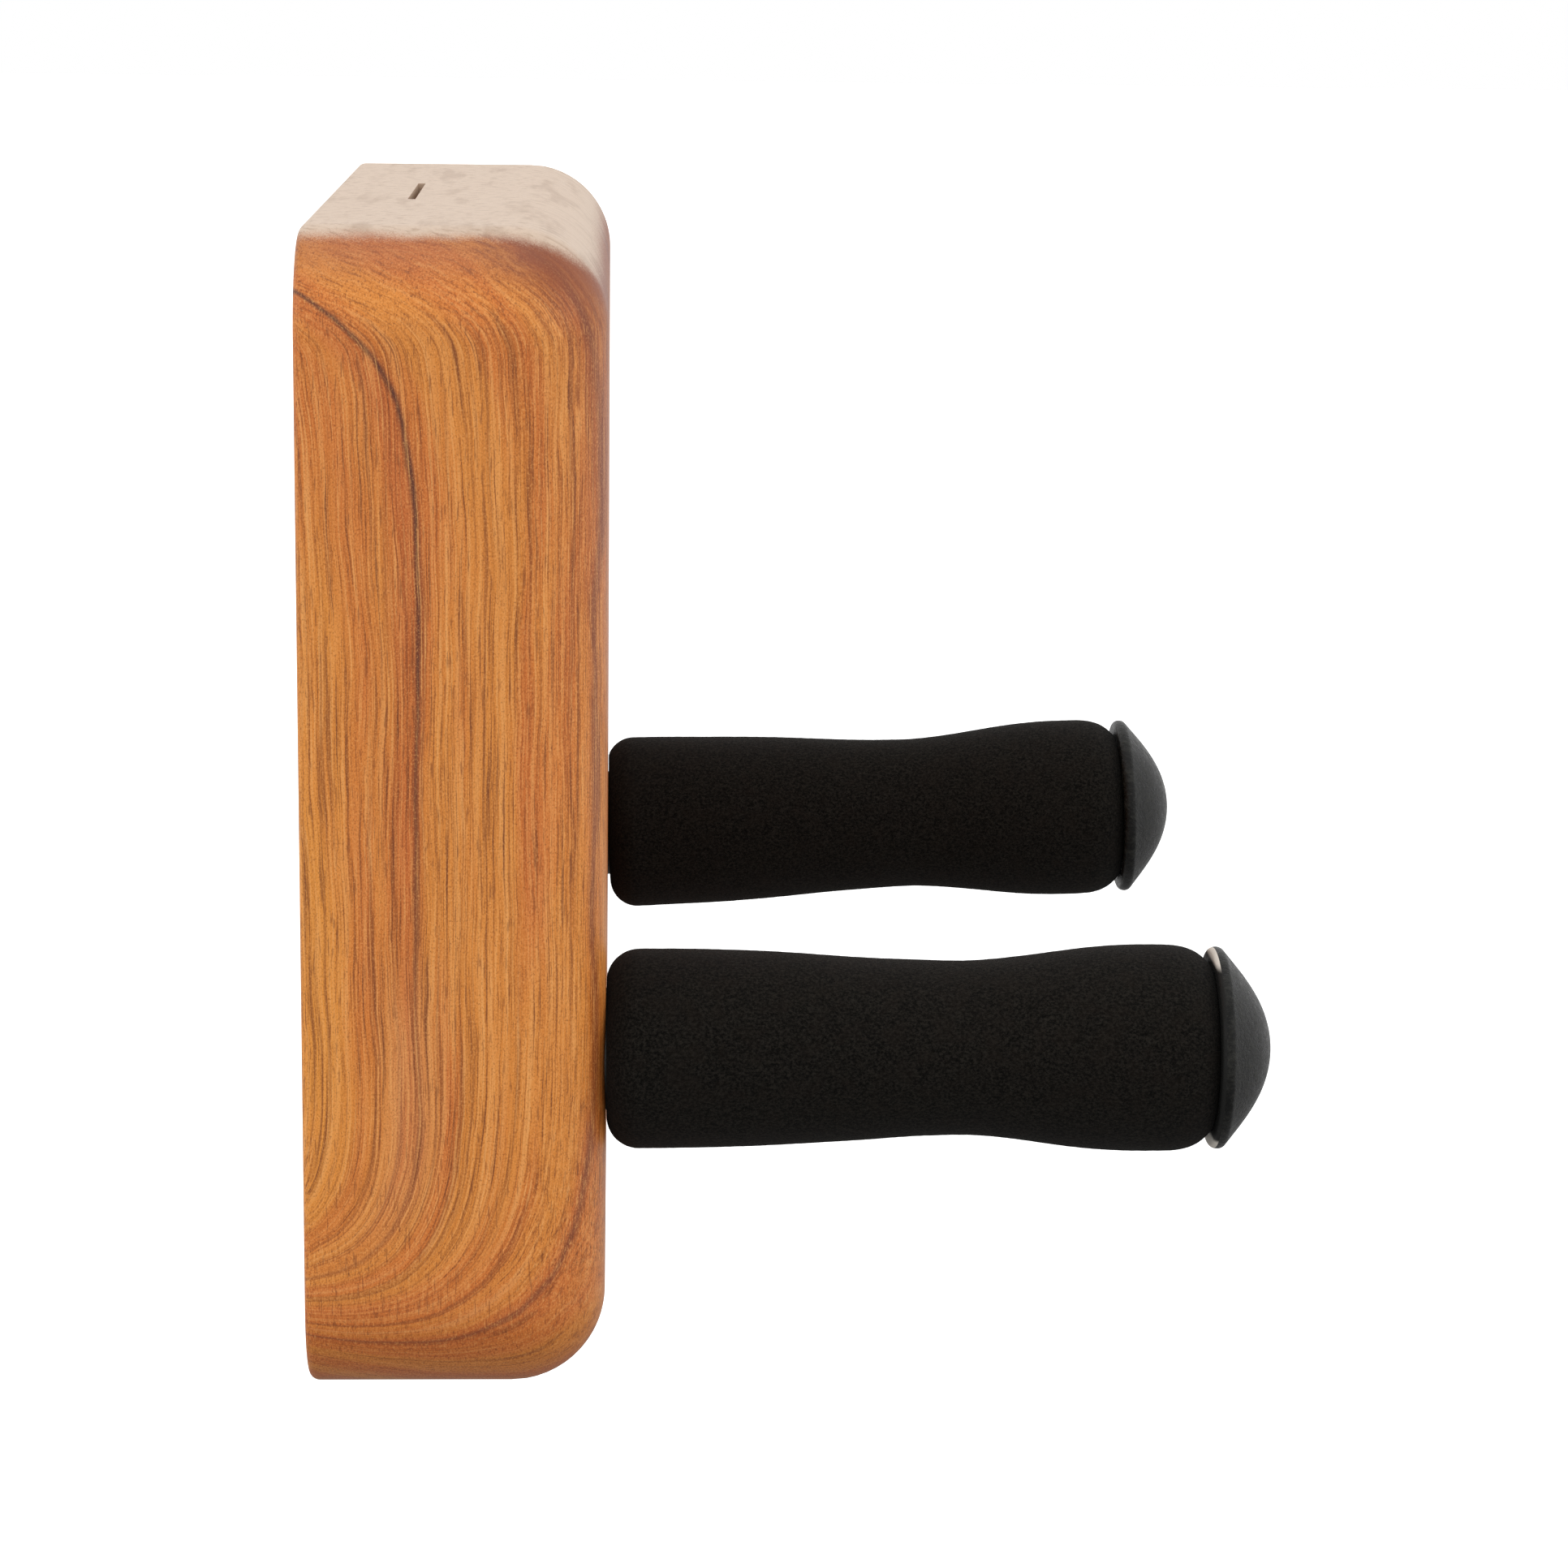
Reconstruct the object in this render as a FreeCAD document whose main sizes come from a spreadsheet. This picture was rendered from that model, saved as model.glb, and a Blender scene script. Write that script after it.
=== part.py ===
import FreeCAD, Part
import math
import os
import Sketcher

# A wooden bicycle rack for a wall. A thick rounded block hangs on a wall rail by a hooked rail in
# its back, and two padded arms stand out of its front to carry the bicycle's top tube.
#
# Millimetres. +X points out of the wall, +Z up, and the wall is the plane X = 0. The origin lies
# on the wall, midway between the wall rail's two screw holes. "Left" and "right" are those of a
# person who faces the wall, so the left arm is on the -Y side.

document = FreeCAD.newDocument("bicycle_wall_rack")
sheet = document.addObject("Spreadsheet::Sheet", "sizes")

DRIVING_SIZES = (
    # the block
    ("block_width", 222),
    ("block_height", 235),
    ("block_depth", 60),
    ("corner_radius", 20),
    ("front_edge_radius", 19),
    ("back_edge_radius", 2),
    ("fixing_below_top", 86),
    # the narrow mortise in the block's top
    ("mortise_length", 48),
    ("mortise_width", 1.6),
    ("mortise_depth", 14),
    ("mortise_from_wall", 18.5),
    # the arms
    ("arm_spacing", 165),
    ("left_arm_height", 67),
    ("right_arm_height", 77),
    ("left_arm_tilt", 0.2),
    ("right_arm_tilt", 2.2),
    ("arm_reach", 124),
    ("arm_seat", 32),
    ("tube_outside", 25),
    ("tube_wall", 2),
    # the foam grip, along the arm from its root, and its wall over the tube
    ("grip_root_wall", 8),
    ("grip_root_bevel", 6.5),
    ("grip_barrel_length", 30),
    ("grip_waist_wall", 5.4),
    ("grip_waist_place", 73),
    ("grip_bulge_wall", 8.7),
    ("grip_bulge_place", 109),
    ("grip_end_bevel", 4.5),
    ("grip_gap", 0.8),
    # the mushroom end cap
    ("cap_overhang", 8.3),
    ("cap_rim", 2.6),
    ("cap_rim_radius", 1.2),
    ("cap_dome_height", 10),
    ("cap_gate_radius", 0.5),
    ("cap_stem_length", 15),
    ("cap_fin_height", 2),
    ("cap_fin_thickness", 1.4),
    ("cap_fin_pitch", 4),
    # the arm's bolt and what it clamps
    ("bolt_diameter", 8),
    ("bolt_length", 40),
    ("bolt_head_diameter", 13),
    ("bolt_head_height", 8),
    ("bolt_socket", 6),
    ("bolt_socket_depth", 4),
    ("bolt_head_sunk", 1.9),
    ("insert_length", 20),
    ("washer_diameter", 22),
    ("washer_thickness", 1.6),
    ("lock_washer_diameter", 14.4),
    ("lock_washer_thickness", 2),
    ("lock_washer_split", 1.4),
    ("counterbore_margin", 1.5),
    # the two hooked rails, one profile turned both ways
    ("rail_length", 150),
    ("rail_thickness", 2.5),
    ("rail_flange", 28),
    ("rail_web", 3),
    ("rail_lip", 7),
    ("rail_clearance", 0.4),
    ("rail_lift", 12),
    ("wall_hole_spacing", 120),
    ("wall_hole_diameter", 5.5),
    # the wood screws that hold the hooked rail in the block
    ("screw_pitch", 40),
    ("screw_diameter", 4.5),
    ("screw_head_diameter", 8.6),
    ("screw_length", 25),
    ("screw_tip", 5),
    # how tightly things fit
    ("slip_fit", 0.1),
    ("press_fit", 0.05),
    ("pocket_margin", 4),
)

for row, (alias, amount) in enumerate(DRIVING_SIZES, start=1):
    sheet.set(f"A{row}", alias)
    sheet.set(f"B{row}", str(amount))
    sheet.setAlias(f"B{row}", alias)
document.recompute()

# Places and sizes that follow from the driving ones, as formulas over the sheet.
BLOCK_TOP = "sizes.fixing_below_top"
BLOCK_BOTTOM = "(sizes.fixing_below_top - sizes.block_height)"
TUBE_INSIDE = "(sizes.tube_outside - 2 * sizes.tube_wall)"
ARM_SEAT_PLACE = "(sizes.block_depth - sizes.arm_seat)"
ARM_END = "(sizes.block_depth + sizes.arm_reach)"
GRIP_START = "(sizes.block_depth + sizes.grip_gap)"
BOLT_SEAT = "(sizes.bolt_head_sunk + sizes.bolt_head_height)"
LOCK_WASHER_FLOOR = f"({BOLT_SEAT} + sizes.lock_washer_thickness)"
COUNTERBORE_FLOOR = f"({LOCK_WASHER_FLOOR} + sizes.washer_thickness)"
RAIL_STEP = "(sizes.rail_thickness + 2 * sizes.rail_clearance)"
HOOK_HEIGHT = "(sizes.rail_flange / 2 + sizes.rail_web + sizes.rail_lip)"
POCKET_DEPTH = "(2 * sizes.rail_thickness + 3 * sizes.rail_clearance)"
HANGER_TOP = f"({HOOK_HEIGHT} + sizes.rail_web + sizes.rail_flange)"
HANGER_SCREW_HEIGHT = f"({HOOK_HEIGHT} + sizes.rail_web + sizes.rail_flange / 2)"
SCREW_HEAD_DEPTH = "((sizes.screw_head_diameter - sizes.screw_diameter) / 2)"
SCREW_FRONT = f"({POCKET_DEPTH} - sizes.rail_thickness)"

# Each arm's name, the side it is on, its height above the block's bottom and its upward tilt.
ARMS = (
    ("left", "-1", "sizes.left_arm_height", "sizes.left_arm_tilt"),
    ("right", "1", "sizes.right_arm_height", "sizes.right_arm_tilt"),
)
X_AXIS_TURN = FreeCAD.Rotation(FreeCAD.Vector(0, 1, 0), 90)


def amount_of(formula):
    """A formula's present value, for the first guess that a sketch is solved from."""
    found = sheet.evalExpression(formula)
    return float(getattr(found, "Value", found))


def bind(item, formulas):
    """Ties properties of an object to formulas over the sheet."""
    for name, formula in formulas.items():
        item.setExpression(name, formula)
    return item


def primitive(kind, name, formulas):
    """A Part primitive whose sizes and place follow the sheet."""
    return bind(document.addObject(kind, name), formulas)


def along_x(item):
    """Turns a cylinder or cone, made along Z, to run along X."""
    item.Placement = FreeCAD.Placement(item.Placement.Base, X_AXIS_TURN)
    return item


def joined(kind, name, first, others):
    """first cut by, or fused with, all the others."""
    if len(others) == 1:
        tool = others[0]
    else:
        tool = document.addObject("Part::MultiFuse", f"{name}_tools")
        tool.Shapes = others
    result = document.addObject(kind, name)
    result.Base = first
    result.Tool = tool
    return result


def origin_plane(body, role):
    return next(item for item in body.Origin.OriginFeatures if item.Role == role)


def outline_sketch(body, role, corners):
    """A closed outline on one of the body's own planes.

    Each corner is two formulas, across and up. A third formula makes the edge that leaves the
    corner an arc of that radius, which bulges to the left of its way. A sketch's arcs run
    anticlockwise, so such an edge is drawn from its end.
    """
    sketch = body.newObject("Sketcher::SketchObject", f"{body.Name}_outline")
    sketch.AttachmentSupport = (origin_plane(body, role), "")
    sketch.MapMode = "FlatFace"
    points = [FreeCAD.Vector(amount_of(c[0]), amount_of(c[1]), 0) for c in corners]
    for index, corner in enumerate(corners):
        start = points[index]
        end = points[(index + 1) % len(points)]
        if len(corner) == 3:
            chord = end - start
            radius = amount_of(corner[2])
            rise = radius - math.sqrt(radius**2 - (chord.Length / 2) ** 2)
            left = FreeCAD.Vector(-chord.y, chord.x, 0).normalize()
            middle = (start + end) / 2 + left * rise
            sketch.addGeometry(Part.Arc(end, middle, start))
        else:
            sketch.addGeometry(Part.LineSegment(start, end))
    ends = [(2, 1) if len(corner) == 3 else (1, 2) for corner in corners]
    for index, corner in enumerate(corners):
        following = (index + 1) % len(corners)
        sketch.addConstraint(
            Sketcher.Constraint("Coincident", index, ends[index][1], following, ends[following][0])
        )
    for index, corner in enumerate(corners):
        for kind, formula, place in (
            ("DistanceX", corner[0], points[index].x),
            ("DistanceY", corner[1], points[index].y),
        ):
            number = sketch.addConstraint(
                Sketcher.Constraint(kind, -1, 1, index, ends[index][0], place)
            )
            sketch.setExpression(f"Constraints[{number}]", formula)
        if len(corner) == 3:
            number = sketch.addConstraint(
                Sketcher.Constraint("Radius", index, amount_of(corner[2]))
            )
            sketch.setExpression(f"Constraints[{number}]", corner[2])
    return sketch


def turned_body(name, corners):
    """A body of revolution about X, from its half outline given as places along X and radii."""
    body = document.addObject("PartDesign::Body", name)
    sketch = outline_sketch(body, "XZ_Plane", corners)
    turn = body.newObject("PartDesign::Revolution", f"{name}_turn")
    turn.Profile = sketch
    turn.ReferenceAxis = (sketch, ["H_Axis"])
    turn.Angle = 360
    return body


def set_on_arm(item, arm):
    """Places a piece made along X from the wall plane on its arm's tilted axis."""
    name, side, height, tilt = arm
    return bind(
        item,
        {
            "Placement": "create(<<placement>>; create(<<vector>>; "
            f"sizes.block_depth * (1 - cos({tilt})); "
            f"{side} * sizes.arm_spacing / 2; "
            f"{BLOCK_BOTTOM} + {height} - sizes.block_depth * sin({tilt})); "
            f"create(<<rotation>>; create(<<vector>>; 0; 1; 0); -({tilt})))"
        },
    )


def edges_where(feature, test):
    """Names of the edges whose middle point and direction pass a test."""
    names = []
    for number, edge in enumerate(feature.Shape.Edges, start=1):
        middle = (edge.FirstParameter + edge.LastParameter) / 2
        if test(edge.valueAt(middle), edge.tangentAt(middle)):
            names.append(f"Edge{number}")
    return names


def rounded(body, name, base, radius, test):
    """A fillet of the body's edges that pass a test."""
    document.recompute()
    fillet = body.newObject("PartDesign::Fillet", name)
    fillet.Base = (base, edges_where(base, test))
    fillet.setExpression("Radius", radius)
    return fillet


def block_blank():
    """The block before any holes: a padded rectangle, its corners and then its faces' rims round."""
    body = document.addObject("PartDesign::Body", "block_blank")
    half = "sizes.block_width / 2"
    sketch = outline_sketch(
        body,
        "YZ_Plane",
        [
            (f"-{half}", BLOCK_BOTTOM),
            (half, BLOCK_BOTTOM),
            (half, BLOCK_TOP),
            (f"-{half}", BLOCK_TOP),
        ],
    )
    pad = body.newObject("PartDesign::Pad", "block_pad")
    pad.Profile = sketch
    pad.setExpression("Length", "sizes.block_depth")
    front = amount_of("sizes.block_depth")
    corners = rounded(
        body, "block_corners", pad, "sizes.corner_radius", lambda at, way: abs(way.x) > 0.9
    )
    faced = rounded(
        body,
        "block_front_rim",
        corners,
        "sizes.front_edge_radius",
        lambda at, way: abs(at.x - front) < 1e-4,
    )
    rounded(
        body,
        "block_back_rim",
        faced,
        "sizes.back_edge_radius",
        lambda at, way: abs(at.x) < 1e-4,
    )
    return body


def block_bores(arm):
    """What one arm takes out of the block: the tube's seat, the bolt's hole and its counterbore."""
    name = arm[0]
    seat = "sizes.tube_outside / 2 + sizes.slip_fit"
    hole = "sizes.bolt_diameter / 2 + 5 * sizes.slip_fit"
    recess = "sizes.washer_diameter / 2 + sizes.counterbore_margin"
    seat_floor = f"{ARM_SEAT_PLACE} - sizes.slip_fit"
    past_back = "-sizes.bolt_head_height"
    past_front = "sizes.block_depth + sizes.bolt_head_height"
    return set_on_arm(
        turned_body(
            f"{name}_arm_bores",
            [
                (past_back, "0"),
                (past_front, "0"),
                (past_front, seat),
                (seat_floor, seat),
                (seat_floor, hole),
                (COUNTERBORE_FLOOR, hole),
                (COUNTERBORE_FLOOR, recess),
                (past_back, recess),
            ],
        ),
        arm,
    )


def hanger_screw_places():
    """The four wood screws' places along the hooked rail."""
    return [f"({step} * sizes.screw_pitch)" for step in ("-1.5", "-0.5", "0.5", "1.5")]


def wood_block():
    """Solid timber, with a shallow pocket for the rails, the mortise and the arms' bores."""
    pocket = primitive(
        "Part::Box",
        "rail_pocket",
        {
            "Length": f"{POCKET_DEPTH} + 1",
            "Width": "sizes.rail_length + 2 * sizes.pocket_margin",
            "Height": f"{HANGER_TOP} + sizes.rail_flange / 2 + sizes.rail_lift"
            " + 2 * sizes.pocket_margin",
            "Placement.Base.x": "-1",
            "Placement.Base.y": "-sizes.rail_length / 2 - sizes.pocket_margin",
            "Placement.Base.z": "-sizes.rail_flange / 2 - sizes.rail_lift - sizes.pocket_margin",
        },
    )
    document.recompute()
    rounded_pocket = document.addObject("Part::Fillet", "rounded_rail_pocket")
    rounded_pocket.Base = pocket
    reach = amount_of("sizes.pocket_margin")
    rounded_pocket.Edges = [
        (number, reach, reach)
        for number, edge in enumerate(pocket.Shape.Edges, start=1)
        if abs(edge.tangentAt(edge.FirstParameter).x) > 0.9
    ]
    mortise = primitive(
        "Part::Box",
        "top_mortise",
        {
            "Length": "sizes.mortise_width",
            "Width": "sizes.mortise_length",
            "Height": "sizes.mortise_depth + 1",
            "Placement.Base.x": "sizes.mortise_from_wall - sizes.mortise_width / 2",
            "Placement.Base.y": "-sizes.mortise_length / 2",
            "Placement.Base.z": f"{BLOCK_TOP} - sizes.mortise_depth",
        },
    )
    pilots = []
    for number, place in enumerate(hanger_screw_places(), start=1):
        pilot = along_x(
            primitive(
                "Part::Cylinder",
                f"screw_pilot_{number}",
                {
                    "Radius": "sizes.screw_diameter / 2 + sizes.slip_fit",
                    "Height": "sizes.screw_length",
                },
            )
        )
        bind(
            pilot,
            {
                "Placement.Base.x": SCREW_FRONT,
                "Placement.Base.y": place,
                "Placement.Base.z": HANGER_SCREW_HEIGHT,
            },
        )
        pilots.append(pilot)
    bores = [block_bores(arm) for arm in ARMS]
    return joined("Part::Cut", "wood_block", block_blank(), [rounded_pocket, mortise, *pilots, *bores])


def arm_tube(arm):
    """A steel tube, seated in the block and reaching to the end cap."""
    bore = f"{TUBE_INSIDE} / 2"
    outside = "sizes.tube_outside / 2"
    return turned_body(
        f"{arm[0]}_arm_tube",
        [(ARM_SEAT_PLACE, bore), (ARM_END, bore), (ARM_END, outside), (ARM_SEAT_PLACE, outside)],
    )


def arm_insert(arm):
    """A threaded steel slug welded into the tube's inner end, which the bolt pulls on."""
    thread = "sizes.bolt_diameter / 2 + sizes.press_fit"
    outside = f"{TUBE_INSIDE} / 2 - sizes.press_fit"
    inner_end = f"{ARM_SEAT_PLACE} + sizes.insert_length"
    return turned_body(
        f"{arm[0]}_arm_insert",
        [
            (ARM_SEAT_PLACE, thread),
            (inner_end, thread),
            (inner_end, outside),
            (ARM_SEAT_PLACE, outside),
        ],
    )


def foam_grip(arm):
    """A shaped foam sleeve: a full barrel at the root, a waist, and a bulge before the end."""
    tube = "sizes.tube_outside / 2"
    bore = f"{tube} + sizes.slip_fit"
    root = f"{tube} + sizes.grip_root_wall"
    bulge = f"{tube} + sizes.grip_bulge_wall"
    end = f"{ARM_END} - sizes.slip_fit"
    return turned_body(
        f"{arm[0]}_foam_grip",
        [
            (GRIP_START, bore),
            (end, bore),
            (end, f"{bulge} - sizes.grip_end_bevel"),
            (f"{end} - sizes.grip_end_bevel", f"{bulge} - sizes.grip_end_bevel / 4"),
            ("sizes.block_depth + sizes.grip_bulge_place", bulge),
            ("sizes.block_depth + sizes.grip_waist_place", f"{tube} + sizes.grip_waist_wall"),
            ("sizes.block_depth + sizes.grip_barrel_length", f"{root} - sizes.slip_fit"),
            (f"{GRIP_START} + sizes.grip_root_bevel", root),
            (GRIP_START, f"{root} - sizes.grip_root_bevel"),
        ],
    )


def end_cap(arm):
    """A moulded mushroom cap whose finned stem pushes into the tube's open end.

    The dome ends in the small flat that its moulding gate leaves.
    """
    fin = f"{TUBE_INSIDE} / 2 - sizes.press_fit"
    core = f"{TUBE_INSIDE} / 2 - sizes.cap_fin_height"
    rim = "sizes.tube_outside / 2 + sizes.cap_overhang"
    dome_start = f"{ARM_END} + sizes.cap_rim"
    behind = (
        f"(({rim}) ^ 2 - sizes.cap_gate_radius ^ 2 - sizes.cap_dome_height ^ 2)"
        " / (2 * sizes.cap_dome_height)"
    )
    dome_radius = f"sqrt(({behind}) ^ 2 + ({rim}) ^ 2)"
    stem_end = f"{ARM_END} - sizes.cap_stem_length"
    outline = [(stem_end, "0")]
    for count in range(3):
        fin_start = f"{stem_end} + {count} * sizes.cap_fin_pitch"
        fin_end = f"{fin_start} + sizes.cap_fin_thickness"
        if count > 0:
            outline.append((fin_start, core))
        outline += [(fin_start, fin), (fin_end, fin), (fin_end, core)]
    outline += [
        (ARM_END, core),
        (ARM_END, f"{rim} - sizes.cap_rim_radius", "sizes.cap_rim_radius"),
        (f"{ARM_END} + sizes.cap_rim_radius", rim),
        (dome_start, rim, dome_radius),
        (f"{dome_start} + sizes.cap_dome_height", "sizes.cap_gate_radius"),
        (f"{dome_start} + sizes.cap_dome_height", "0"),
    ]
    return turned_body(f"{arm[0]}_end_cap", outline)


def arm_bolt(arm):
    """A socket-head bolt, put in from the block's back."""
    shank = "sizes.bolt_diameter / 2"
    head = "sizes.bolt_head_diameter / 2"
    head_end = f"{BOLT_SEAT} - sizes.bolt_head_height"
    blank = turned_body(
        f"{arm[0]}_bolt_blank",
        [
            (head_end, "0"),
            (f"{BOLT_SEAT} + sizes.bolt_length", "0"),
            (f"{BOLT_SEAT} + sizes.bolt_length", shank),
            (BOLT_SEAT, shank),
            (BOLT_SEAT, head),
            (head_end, head),
        ],
    )
    set_on_arm(blank, arm)
    socket = primitive(
        "Part::Prism",
        f"{arm[0]}_bolt_socket",
        {"Circumradius": "sizes.bolt_socket / sqrt(3)", "Height": "sizes.bolt_socket_depth"},
    )
    socket.Polygon = 6
    tilt = arm[3]
    bind(
        socket,
        {
            "Placement": "create(<<placement>>; create(<<vector>>; "
            f"sizes.block_depth * (1 - cos({tilt})) + ({head_end}) * cos({tilt}); "
            f"{arm[1]} * sizes.arm_spacing / 2; "
            f"{BLOCK_BOTTOM} + {arm[2]} - (sizes.block_depth - ({head_end})) * sin({tilt})); "
            f"create(<<rotation>>; create(<<vector>>; 0; 1; 0); 90 - ({tilt})))"
        },
    )
    return joined("Part::Cut", f"{arm[0]}_arm_bolt", blank, [socket])


def washer(arm):
    """A wide plain washer on the counterbore's floor."""
    bore = "sizes.bolt_diameter / 2 + 3 * sizes.slip_fit"
    outside = "sizes.washer_diameter / 2"
    return turned_body(
        f"{arm[0]}_washer",
        [
            (LOCK_WASHER_FLOOR, bore),
            (COUNTERBORE_FLOOR, bore),
            (COUNTERBORE_FLOOR, outside),
            (LOCK_WASHER_FLOOR, outside),
        ],
    )


def lock_washer(arm):
    """A split spring washer under the bolt's head."""
    bore = "sizes.bolt_diameter / 2 + sizes.slip_fit"
    outside = "sizes.lock_washer_diameter / 2"
    ring = turned_body(
        f"{arm[0]}_lock_ring",
        [
            (BOLT_SEAT, bore),
            (LOCK_WASHER_FLOOR, bore),
            (LOCK_WASHER_FLOOR, outside),
            (BOLT_SEAT, outside),
        ],
    )
    set_on_arm(ring, arm)
    side, height = arm[1], arm[2]
    split = primitive(
        "Part::Box",
        f"{arm[0]}_lock_split",
        {
            "Length": f"2 * {COUNTERBORE_FLOOR}",
            "Width": "sizes.lock_washer_split",
            "Height": "sizes.lock_washer_diameter",
            "Placement.Base.y": f"{side} * sizes.arm_spacing / 2 - sizes.lock_washer_split / 2",
            "Placement.Base.z": f"{BLOCK_BOTTOM} + {height} - sizes.block_depth * sin({arm[3]})",
        },
    )
    return joined("Part::Cut", f"{arm[0]}_lock_washer", ring, [split])


def rail_blank(name, corners):
    """A hooked rail's profile, padded along the wall both ways from the middle."""
    body = document.addObject("PartDesign::Body", name)
    sketch = outline_sketch(body, "XZ_Plane", corners)
    pad = body.newObject("PartDesign::Pad", f"{name}_pad")
    pad.Profile = sketch
    pad.SideType = "Symmetric"
    pad.setExpression("Length", "sizes.rail_length")
    return body


def rail_hole(name, radius, place):
    """A cylinder that cuts one screw hole through a rail, from its wall side."""
    across, along, height = place
    hole = along_x(
        primitive(
            "Part::Cylinder", name, {"Radius": radius, "Height": "4 * sizes.rail_thickness"}
        )
    )
    return bind(
        hole,
        {
            "Placement.Base.x": f"{across} - sizes.rail_thickness",
            "Placement.Base.y": along,
            "Placement.Base.z": height,
        },
    )


def wall_rail():
    """The rail that is screwed to the wall: a flat flange, and an upward lip stood off the wall."""
    flange = "sizes.rail_flange / 2"
    web = f"({flange} + sizes.rail_web)"
    thickness = "sizes.rail_thickness"
    lip_front = f"{RAIL_STEP} + {thickness}"
    blank = rail_blank(
        "wall_rail_blank",
        [
            ("0", f"-{flange}"),
            (thickness, f"-{flange}"),
            (thickness, flange),
            (lip_front, flange),
            (lip_front, HOOK_HEIGHT),
            (RAIL_STEP, HOOK_HEIGHT),
            (RAIL_STEP, web),
            ("0", web),
        ],
    )
    holes = [
        rail_hole(
            f"wall_hole_{name}",
            "sizes.wall_hole_diameter / 2",
            ("0", f"{side} * sizes.wall_hole_spacing / 2", "0"),
        )
        for name, side, _, _ in ARMS
    ]
    return joined("Part::Cut", "wall_rail", blank, holes)


def hanger_rail():
    """The rail in the block's pocket: its lip hooks down behind the wall rail's lip.

    Its screw holes are countersunk from the wall side.
    """
    web_top = f"({HOOK_HEIGHT} + sizes.rail_web)"
    back = "sizes.rail_clearance"
    lip_front = "(sizes.rail_clearance + sizes.rail_thickness)"
    lip_end = f"({HOOK_HEIGHT} - sizes.rail_lip + sizes.rail_clearance)"
    blank = rail_blank(
        "hanger_rail_blank",
        [
            (back, lip_end),
            (lip_front, lip_end),
            (lip_front, HOOK_HEIGHT),
            (POCKET_DEPTH, HOOK_HEIGHT),
            (POCKET_DEPTH, HANGER_TOP),
            (SCREW_FRONT, HANGER_TOP),
            (SCREW_FRONT, web_top),
            (back, web_top),
        ],
    )
    tools = []
    for number, place in enumerate(hanger_screw_places(), start=1):
        spot = (SCREW_FRONT, place, HANGER_SCREW_HEIGHT)
        shank = "sizes.screw_diameter / 2 + sizes.slip_fit"
        tools.append(rail_hole(f"hanger_hole_{number}", shank, spot))
        cone = along_x(
            primitive(
                "Part::Cone",
                f"hanger_countersink_{number}",
                {
                    "Radius1": "sizes.screw_head_diameter / 2 + sizes.slip_fit",
                    "Radius2": shank,
                    "Height": SCREW_HEAD_DEPTH,
                },
            )
        )
        bind(
            cone,
            {
                "Placement.Base.x": SCREW_FRONT,
                "Placement.Base.y": place,
                "Placement.Base.z": HANGER_SCREW_HEIGHT,
            },
        )
        tools.append(cone)
    return joined("Part::Cut", "hanger_rail", blank, tools)


def hanger_screws():
    """The four countersunk wood screws, as one group of separate solids."""
    screws = []
    shank = "sizes.screw_diameter / 2"
    head = "sizes.screw_head_diameter / 2"
    tip_start = "sizes.screw_length - sizes.screw_tip"
    for number, place in enumerate(hanger_screw_places(), start=1):
        screw = turned_body(
            f"hanger_screw_{number}",
            [
                ("0", "0"),
                ("sizes.screw_length - sizes.slip_fit", "0"),
                (tip_start, shank),
                (SCREW_HEAD_DEPTH, shank),
                ("0", head),
            ],
        )
        bind(
            screw,
            {
                "Placement.Base.x": SCREW_FRONT,
                "Placement.Base.y": place,
                "Placement.Base.z": HANGER_SCREW_HEIGHT,
            },
        )
        screws.append(screw)
    group = document.addObject("Part::Compound", "hanger_screws")
    group.Links = screws
    return group


pieces = [wood_block(), wall_rail(), hanger_rail(), hanger_screws()]
for arm in ARMS:
    for made in (arm_tube, arm_insert, foam_grip, end_cap, washer):
        pieces.append(set_on_arm(made(arm), arm))
    pieces.append(arm_bolt(arm))
    pieces.append(lock_washer(arm))
document.recompute()

for item in document.Objects:
    if "Invalid" in item.State or "Error" in item.State:
        raise RuntimeError(f"{item.Label} failed: {item.State}")
for piece in pieces:
    piece.Label = piece.Name
    if piece.Shape.isNull() or not piece.Shape.isValid():
        raise RuntimeError(f"{piece.Label} has no valid shape")

os.makedirs("parts", exist_ok=True)
for piece in pieces:
    piece.Shape.exportStep(f"parts/{piece.Label}.step")
    print(piece.Label, len(piece.Shape.Solids), "solids", round(piece.Shape.Volume), "mm3")
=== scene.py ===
import math
import bmesh
import bpy
from mathutils import Matrix, Vector, noise


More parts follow.
